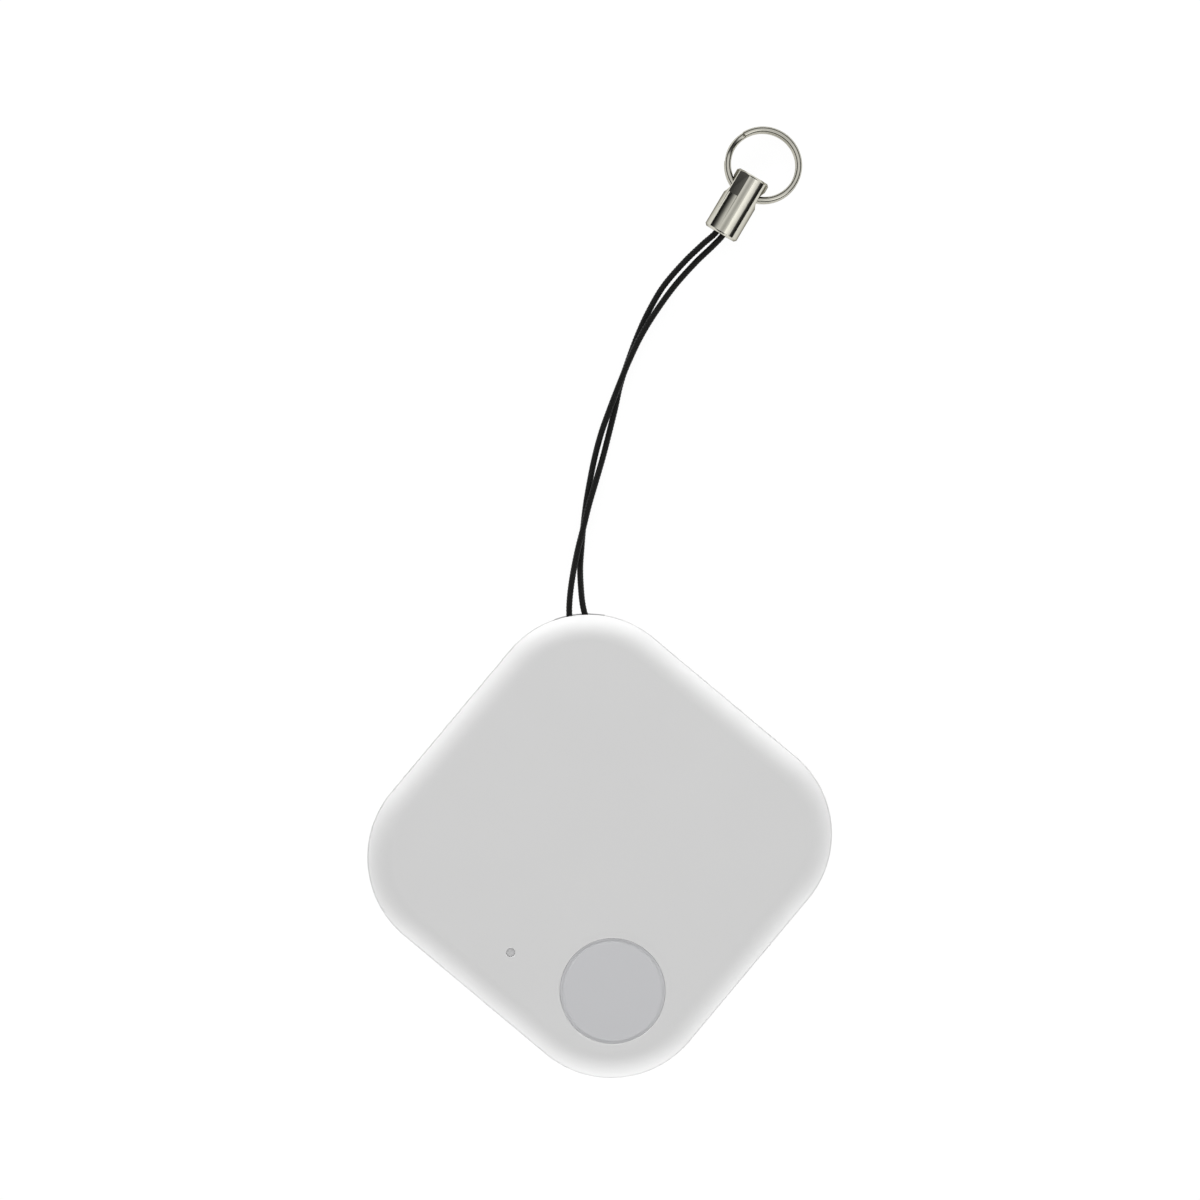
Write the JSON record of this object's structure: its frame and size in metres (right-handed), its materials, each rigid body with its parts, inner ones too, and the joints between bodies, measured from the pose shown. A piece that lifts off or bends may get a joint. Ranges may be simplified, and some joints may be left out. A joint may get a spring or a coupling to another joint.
{
  "type": "bluetooth tracker tag",
  "caption": "Rounded-square tracker tag with a push button, a coin cell and a buzzer inside, on a thin cord loop with a crimp sleeve and a split ring.",
  "frame": {"origin": "centre of the case's rear face, on the surface that the tag lies on", "axes": "+Z out of the front face, +Y towards the corner that the cord leaves, +X to the right seen from the front"},
  "size_m": [0.0509, 0.0961, 0.0071],
  "materials": {
    "case_white": "satin",
    "button_white": "satin",
    "clear_plastic": "polished",
    "cord_black": "fine braid",
    "bright_nickel": "polished nickel",
    "board_green": "solder mask",
    "chip_black": "moulded",
    "tin": "tin plated",
    "ceramic_tan": "fired ceramic",
    "ceramic_white": "fired ceramic",
    "led_lens": "clear resin over phosphor",
    "ferrite": "sintered",
    "steel": "rolled and plated",
    "cathode_black": "pressed powder",
    "gasket_grey": "moulded",
    "spring_gold": "gold flashed",
    "brass": "rolled"
  },
  "bodies": {
    "case": {"rear_cover": "case_white", "circuit_board": "board_green", "bluetooth_chip": "chip_black", "crystal": "tin", "chip_antenna": "ceramic_white", "status_led": "led_lens", "inductor": "ferrite", "capacitor_1": "ceramic_tan", "capacitor_2": "ceramic_tan", "capacitor_3": "ceramic_tan", "resistor_1": "chip_black", "resistor_2": "chip_black", "switch_base": "chip_black", "switch_frame": "steel", "switch_dome": "steel", "board_screw_left": "tin", "board_screw_right": "tin", "positive_contact": "spring_gold", "negative_contact": "spring_gold", "piezo_rim_spring": "spring_gold", "piezo_center_spring": "spring_gold"},
    "lid": {"front_cover": "case_white", "light_pipe": "clear_plastic", "piezo_plate": "brass", "piezo_ceramic": "ceramic_white"},
    "button": {"button_cap": "button_white"},
    "plunger": {"switch_plunger": "gasket_grey"},
    "cell": {"cell_can": "steel", "cell_gasket": "gasket_grey", "cell_cap": "steel", "cell_cathode": "cathode_black"},
    "strap": {"strap_cord": "cord_black", "crimp_sleeve": "bright_nickel"},
    "ring": {"split_ring": "bright_nickel"}
  },
  "joints": [
    {"name": "lid_lift", "type": "slide", "parent": "case", "child": "lid", "axis": [0, 0, 1], "range_m": [0, 0.012]},
    {"name": "cell_lift", "type": "slide", "parent": "case", "child": "cell", "axis": [0, 0, 1], "range_m": [0, 0.006]},
    {"name": "button_press", "type": "slide", "parent": "lid", "child": "button", "axis": [0, 0, -1], "range_m": [0, 0.0003], "stiffness_N_per_m": 1000, "springref_m": -0.0005},
    {"name": "plunger_press", "type": "slide", "parent": "case", "child": "plunger", "axis": [0, 0, -1], "range_m": [0, 0.0003]},
    {"name": "strap_swing", "type": "hinge", "parent": "case", "child": "strap", "pos_m": [0, 0.02043, 0.0032], "axis": [0, 0, 1], "range_deg": [-20, 20]},
    {"name": "ring_tilt", "type": "hinge", "parent": "strap", "child": "ring", "pos_m": [0.02079, 0.06558, 0.00188], "axis": [0.8121, -0.5835, 0], "range_deg": [0, 150]}
  ],
  "couplings": [
    {"joint": "cell_lift", "follows": "lid_lift", "ratio": 0.5},
    {"joint": "plunger_press", "follows": "button_press", "ratio": 1}
  ]
}
